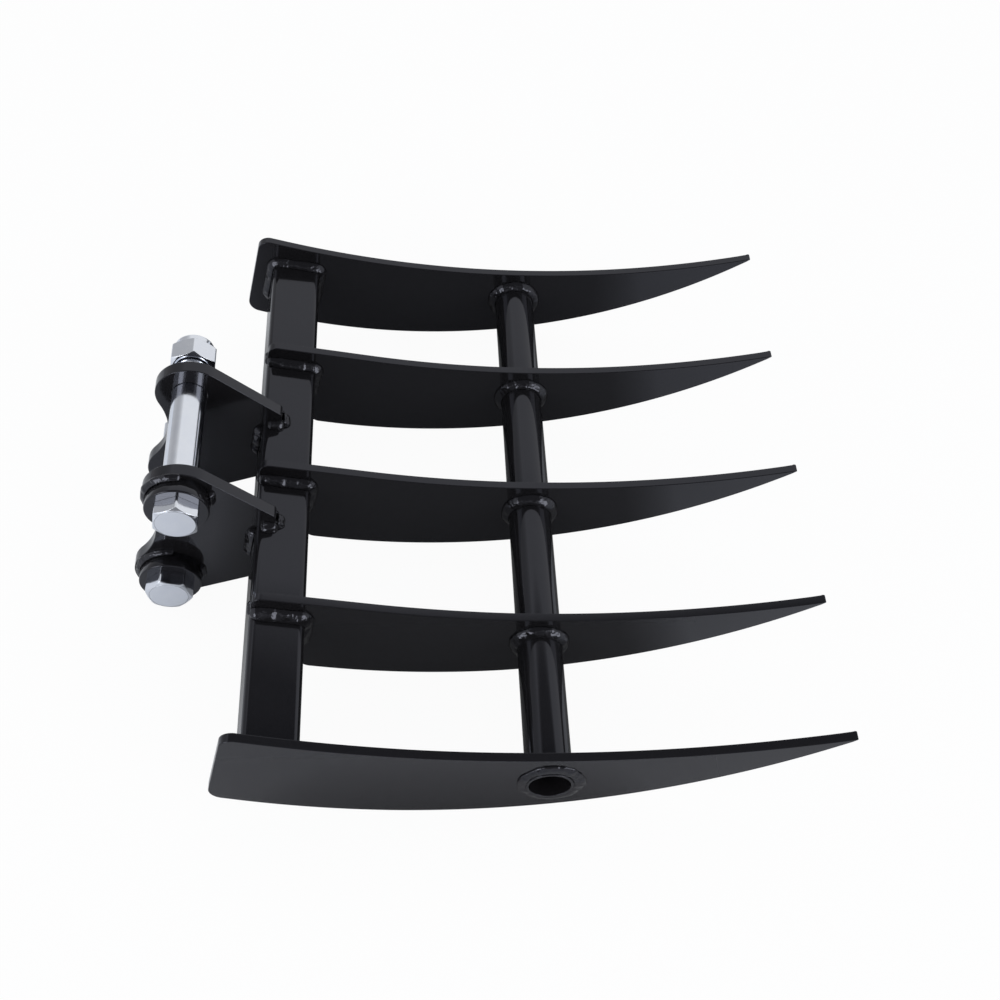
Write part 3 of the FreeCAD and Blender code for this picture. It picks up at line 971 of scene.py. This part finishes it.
def round_about(place, y, radius, outward, first=0.0, sweep=360.0, wider_in_front=0.0):
    length = math.radians(sweep) * radius

    def station(s):
        angle = first + sweep * s / length
        x, z = on_circle(place, radius, angle)
        ray = Vector((math.cos(math.radians(angle)), 0, math.sin(math.radians(angle))))
        ray *= 1 + wider_in_front * math.cos(math.radians(angle))
        return Vector((x, y, z)), ray, LEFT * outward
    return length, station


def follow(points, y, outward):
    """Run along a closed side-view outline that lies on a plate at y."""
    total = [0.0]
    for i, p in enumerate(points):
        total.append(total[-1] + (points[(i + 1) % len(points)] - p).length)
    normals = outward_normals(points)

    def station(s):
        s = s % total[-1]
        i = max(k for k in range(len(points)) if total[k] <= s)
        t = (s - total[i]) / (total[i + 1] - total[i])
        p = points[i].lerp(points[(i + 1) % len(points)], t)
        n = normals[i].lerp(normals[(i + 1) % len(points)], t).normalized()
        return Vector((p.x, y, p.y)), Vector((n.x, 0, n.y)), LEFT * outward
    return total[-1], station


def tilted(vector):
    """A place or direction on the crossbar's section, turned with the tube."""
    side_view = turned(Vector((vector.x, vector.z)), TUBE_TURN)
    return Vector((side_view.x, vector.y, side_view.y))


def on_tube(run):
    """The same run of a bead, turned with the tube."""
    length, station = run

    def tilted_station(s):
        return [tilted(v) for v in station(s)]
    return length, tilted_station


LUG_BEAD_START = 2.0
LUG_BEAD_STOP = 2.0
LUG_REAR_DROP = 0.6
LUG_REAR_PAST = 3.0
EAR_BEAD_START = 3.0
EAR_BEAD_STOP = 1.0
EAR_BEAD_RISE = 1.5
EAR_BEAD_LUMP = 0.22
EAR_REAR_LUMP = 0.2
PIPE_BEAD_FIRST = 250.0
COLLAR_BEAD_SWEEPS = ((85.0, 130.0), (-12.0, 36.0))


def along_lug(face, out):
    """Run beside an inner tine: along the crossbar's top, round its front corner and down its front."""
    rear = -HALF_TUBE + LUG_SETBACK - LUG_BEAD_START
    flat = HALF_TUBE - TUBE_CORNER
    top = flat - rear
    corner = math.pi / 2 * TUBE_CORNER
    front = 2 * flat - LUG_BEAD_STOP

    def station(s):
        if s < top:
            return Vector((rear + s, face, HALF_TUBE)), out, UP
        if s < top + corner:
            angle = 90 - math.degrees((s - top) / TUBE_CORNER)
            x, z = on_circle((flat, flat), TUBE_CORNER, angle)
            ray = Vector((math.cos(math.radians(angle)), 0, math.sin(math.radians(angle))))
            return Vector((x, face, z)), out, ray
        return Vector((HALF_TUBE, face, flat - (s - top - corner))), out, FRONT
    return top + corner + front, station


crossbar_beads = Shell()
section = tube_outline(TUBE_SIDE, TUBE_CORNER)
for side in (1, -1):
    run = follow(section, side * (END_TINE_Y - HALF_PLATE), -side)
    add_bead(crossbar_beads, on_tube(run), TUBE_END_BEAD, 3 + side, closed=True)
for number, (hand, y) in enumerate(INNER_TINES):
    swing = SWING.get(hand, 0.0)
    for side in (1, -1):
        run = along_lug(y + swing + side * HALF_PLATE, LEFT * side)
        leg = SWUNG_LUG_BEAD if side * swing < 0 else TUBE_BEAD
        add_bead(crossbar_beads, on_tube(run), leg, 11 + 4 * number + side)
    behind = Vector((-HALF_TUBE + LUG_SETBACK, y + swing, HALF_TUBE - LUG_REAR_DROP))
    half = LEFT * (HALF_PLATE + LUG_REAR_PAST)
    run = straight(behind - half, behind + half, -FRONT, UP)
    add_bead(crossbar_beads, on_tube(run), LUG_REAR_BEAD, 51 + number)
bead_piece("beads_on_crossbar", crossbar_beads, "weld_tines_to_crossbar")

pipe_beads = Shell()
for number, y in enumerate([END_TINE_Y] + [y for hand, y in INNER_TINES] + [-END_TINE_Y]):
    for side in (1, -1):
        face = y + side * HALF_PLATE
        if abs(face) > END_TINE_Y:
            run = round_about(PIPE_PLACE, face, pipe_outer + 0.1, side, wider_in_front=0.2)
            add_bead(pipe_beads, run, PIPE_END_BEAD, 60 + number + side, closed=True, fullness=2.1,
                     lean=2.75, ripple=0.03, lump=0.17)
        else:
            run = round_about(PIPE_PLACE, face, pipe_outer, side, first=PIPE_BEAD_FIRST)
            add_bead(pipe_beads, run, PIPE_BEAD, 70 + 3 * number + side, closed=True)
bead_piece("beads_on_pipe", pipe_beads, "weld_tines_to_pipe")

for hand, side in (("left", 1), ("right", -1)):
    beads = Shell()
    inner_face = EAR_MIDDLE + side * EAR_GAP / 2
    outer_face = inner_face + side * EAR_PLATE
    hook_front = -HALF_TUBE + HOOK_REACH
    flat = HALF_TUBE - TUBE_CORNER
    for face, out in ((outer_face, LEFT * side), (inner_face, LEFT * -side)):
        seed = 90 + 5 * side + face
        rear_end = Vector((-HALF_TUBE + EAR_BEAD_START, face, HALF_TUBE))
        front_end = Vector((hook_front + EAR_BEAD_STOP, face, HALF_TUBE))
        run = straight(rear_end, front_end, out, UP)
        add_bead(beads, on_tube(run), TUBE_BEAD, seed, lump=EAR_BEAD_LUMP)
        upper_end = Vector((-HALF_TUBE, face, flat + EAR_BEAD_RISE))
        lower_end = Vector((-HALF_TUBE, face, -flat))
        run = straight(upper_end, lower_end, out, -FRONT)
        add_bead(beads, on_tube(run), TUBE_BEAD, seed + 2, lump=EAR_REAR_LUMP)
    low = min(inner_face, outer_face)
    first_end = Vector((hook_front, low - EAR_BEAD_STOP, HALF_TUBE))
    last_end = Vector((hook_front, low + EAR_PLATE + EAR_BEAD_STOP, HALF_TUBE))
    run = straight(first_end, last_end, FRONT, UP)
    add_bead(beads, on_tube(run), TUBE_BEAD, 110 + side, lump=EAR_BEAD_LUMP)
    bead_piece("beads_on_ear_" + hand, beads, "weld_ear_" + hand)
for level, place in (("upper", UPPER_PIN), ("lower", LOWER_PIN)):
    beads = Shell()
    for first, sweep in COLLAR_BEAD_SWEEPS:
        run = round_about(place, ear_outer_face, BOSS_OUTER / 2, -1, first, sweep)
        add_bead(beads, run, BOSS_BEAD, first + len(level) + place[1], lump=EAR_BEAD_LUMP)
    bead_piece("beads_on_collar_" + level, beads, "weld_boss_" + level)


# Floor, world, lamps and camera. Colours are linear, places and sizes in metres.
SKY_COLOUR = (0.93, 0.96, 1.0)
SKY_STRENGTH = 0.9
FLOOR_REACH = 6.0
FLOOR_COLOUR = (0.74, 0.74, 0.75)
FLOOR_ROUGHNESS = 0.9
FLOOR_WHITE_SHARE = 0.95
LENS = 51.75
SENSOR = 36.0
CAMERA_PLACE = (-0.0455, -0.6588, 0.8999)
CAMERA_RIGHT = (0.9979, -0.0471, 0.0462)
CAMERA_UP = (0.0090, 0.7908, 0.6120)
SOFTBOX_DISTANCE = 2.2
SOFTBOX_SIZE = 0.95
SOFTBOX_RADIANCE = 3.8


def math_node(tree, operation, first, second=None):
    """Math node that takes sockets or, as its second value, a number."""
    node = tree.nodes.new("ShaderNodeMath")
    node.operation = operation
    tree.links.new(first, node.inputs[0])
    if isinstance(second, float):
        node.inputs[1].default_value = second
    elif second is not None:
        tree.links.new(second, node.inputs[1])
    return node.outputs[0]


def shader_mix(tree, share, first, second, surface):
    """Mix of two shaders by a share, led to an output's surface."""
    mix = tree.nodes.new("ShaderNodeMixShader")
    tree.links.new(share, mix.inputs["Fac"])
    tree.links.new(first, mix.inputs[1])
    tree.links.new(second, mix.inputs[2])
    tree.links.new(mix.outputs[0], surface)


def world_light():
    """Soft bluish light, and plain white for the camera, in reflections and through clear things."""
    world = bpy.data.worlds.new("studio")
    bpy.context.scene.world = world
    world.use_nodes = True
    tree = world.node_tree
    for node in list(tree.nodes):
        tree.nodes.remove(node)
    out = tree.nodes.new("ShaderNodeOutputWorld")
    soft = tree.nodes.new("ShaderNodeBackground")
    soft.inputs["Color"].default_value = (*SKY_COLOUR, 1)
    soft.inputs["Strength"].default_value = SKY_STRENGTH
    white = tree.nodes.new("ShaderNodeBackground")
    white.inputs["Strength"].default_value = 1.0
    rays = tree.nodes.new("ShaderNodeLightPath")
    seen = math_node(tree, "MAXIMUM", rays.outputs["Is Camera Ray"], rays.outputs["Is Glossy Ray"])
    also = math_node(tree, "MAXIMUM", seen, rays.outputs["Is Transmission Ray"])
    shader_mix(tree, also, soft.outputs[0], white.outputs[0], out.inputs["Surface"])


def flat_square(name):
    """Square of two units a side, with a material of its own."""
    mesh = bpy.data.meshes.new(name)
    mesh.from_pydata([(-1, -1, 0), (1, -1, 0), (1, 1, 0), (-1, 1, 0)], [], [(0, 1, 2, 3)])
    square = bpy.data.objects.new(name, mesh)
    bpy.context.scene.collection.objects.link(square)
    material = bpy.data.materials.new(name)
    material.use_nodes = True
    mesh.materials.append(material)
    return square, material.node_tree


def make_floor():
    """Pale floor that is nearly white to the camera and keeps a little of the rake's shadow."""
    floor, tree = flat_square("floor")
    floor.scale = (FLOOR_REACH, FLOOR_REACH, 1)
    shader = tree.nodes["Principled BSDF"]
    shader.inputs["Base Color"].default_value = (*FLOOR_COLOUR, 1)
    shader.inputs["Roughness"].default_value = FLOOR_ROUGHNESS
    shader.inputs["Specular IOR Level"].default_value = 0.0
    glow = tree.nodes.new("ShaderNodeEmission")
    glow.inputs["Strength"].default_value = 1.0
    rays = tree.nodes.new("ShaderNodeLightPath")
    share = math_node(tree, "MULTIPLY", rays.outputs["Is Camera Ray"], FLOOR_WHITE_SHARE)
    surface = tree.nodes["Material Output"].inputs["Surface"]
    shader_mix(tree, share, shader.outputs[0], glow.outputs[0], surface)


def soft_card(name, place, towards, size, darkness, shade, squareness, fade):
    """Card that only reflections see: dark in its middle and clear towards its edge."""
    card, tree = flat_square(name)
    card.scale = (size[0] / 2, size[1] / 2, 1)
    card.location = place
    card.rotation_euler = Vector(towards).to_track_quat("Z", "Y").to_euler()
    tree.nodes.remove(tree.nodes["Principled BSDF"])
    glow = tree.nodes.new("ShaderNodeEmission")
    glow.inputs["Color"].default_value = (*shade, 1)
    clear = tree.nodes.new("ShaderNodeBsdfTransparent")
    spot = tree.nodes.new("ShaderNodeTexCoord")
    split = tree.nodes.new("ShaderNodeSeparateXYZ")
    tree.links.new(spot.outputs["Object"], split.inputs[0])
    powers = []
    for axis in ("X", "Y"):
        away = math_node(tree, "ABSOLUTE", split.outputs[axis])
        powers.append(math_node(tree, "POWER", away, squareness))
    total = math_node(tree, "ADD", *powers)
    share = ranged(tree, total, fade[0], fade[1], darkness, 0.0)
    surface = tree.nodes["Material Output"].inputs["Surface"]
    shader_mix(tree, share, clear.outputs[0], glow.outputs[0], surface)
    card.visible_camera = False
    card.visible_diffuse = False
    card.visible_shadow = False
    card.visible_transmission = False


def softbox(name, direction):
    """Square lamp that looks at the rake from a direction. A radiance of 1 looks white."""
    light = bpy.data.lights.new(name, "AREA")
    light.shape = "SQUARE"
    light.size = SOFTBOX_SIZE
    light.energy = SOFTBOX_RADIANCE * math.pi * SOFTBOX_SIZE ** 2
    lamp = bpy.data.objects.new(name, light)
    towards = Vector(direction).normalized()
    lamp.location = towards * SOFTBOX_DISTANCE
    lamp.rotation_euler = towards.to_track_quat("Z", "Y").to_euler()
    bpy.context.scene.collection.objects.link(lamp)


def make_camera():
    data = bpy.data.cameras.new("camera")
    data.lens = LENS
    data.sensor_width = SENSOR
    camera = bpy.data.objects.new("camera", data)
    right = Vector(CAMERA_RIGHT).normalized()
    up = Vector(CAMERA_UP)
    up = (up - right * up.dot(right)).normalized()
    turn = Matrix((right, up, right.cross(up))).transposed()
    camera.matrix_world = Matrix.Translation(CAMERA_PLACE) @ turn.to_4x4()
    bpy.context.scene.collection.objects.link(camera)
    bpy.context.scene.camera = camera


world_light()
make_floor()
softbox("softbox_left", (-0.62, -0.70, 0.36))
softbox("softbox_right", (0.70, -0.65, 0.32))
soft_card("dark_ceiling", place=(0.1, -0.40, 1.6), towards=(0, 0, -1), size=(4.4, 4.2),
          darkness=0.9, shade=(0.04, 0.04, 0.05), squareness=4.0, fade=(0.10, 0.20))
soft_card("dark_behind_camera", place=(0.0, -2.6, 1.0), towards=(0, 1, 0), size=(3.2, 2.6),
          darkness=0.8, shade=(0.04, 0.04, 0.05), squareness=3.0, fade=(0.3, 1.0))
soft_card("shade_under_rake", place=(-0.0125, 0.03, 0.002), towards=(0, 0, 1), size=(0.365, 0.60),
          darkness=0.8, shade=(0.10, 0.10, 0.10), squareness=4.0, fade=(0.35, 1.0))
soft_card("shade_before_rake", place=(0.0, -0.36, 0.0015), towards=(0, 0, 1), size=(1.3, 0.4),
          darkness=0.3, shade=(0.10, 0.10, 0.10), squareness=2.0, fade=(0.4, 1.0))
soft_card("dim_far_left", place=(-1.35, 1.00, 0.80), towards=(0.75, -0.60, 0), size=(2.4, 2.6),
          darkness=0.55, shade=(0.08, 0.08, 0.09), squareness=2.0, fade=(0.0, 1.0))
soft_card("dark_far_right", place=(1.15, 0.94, 0.03), towards=(-0.77, -0.63, 0), size=(1.5, 0.46),
          darkness=0.93, shade=(0.02, 0.02, 0.03), squareness=6.0, fade=(0.5, 1.0))
make_camera()
bpy.context.scene.view_settings.view_transform = "Standard"
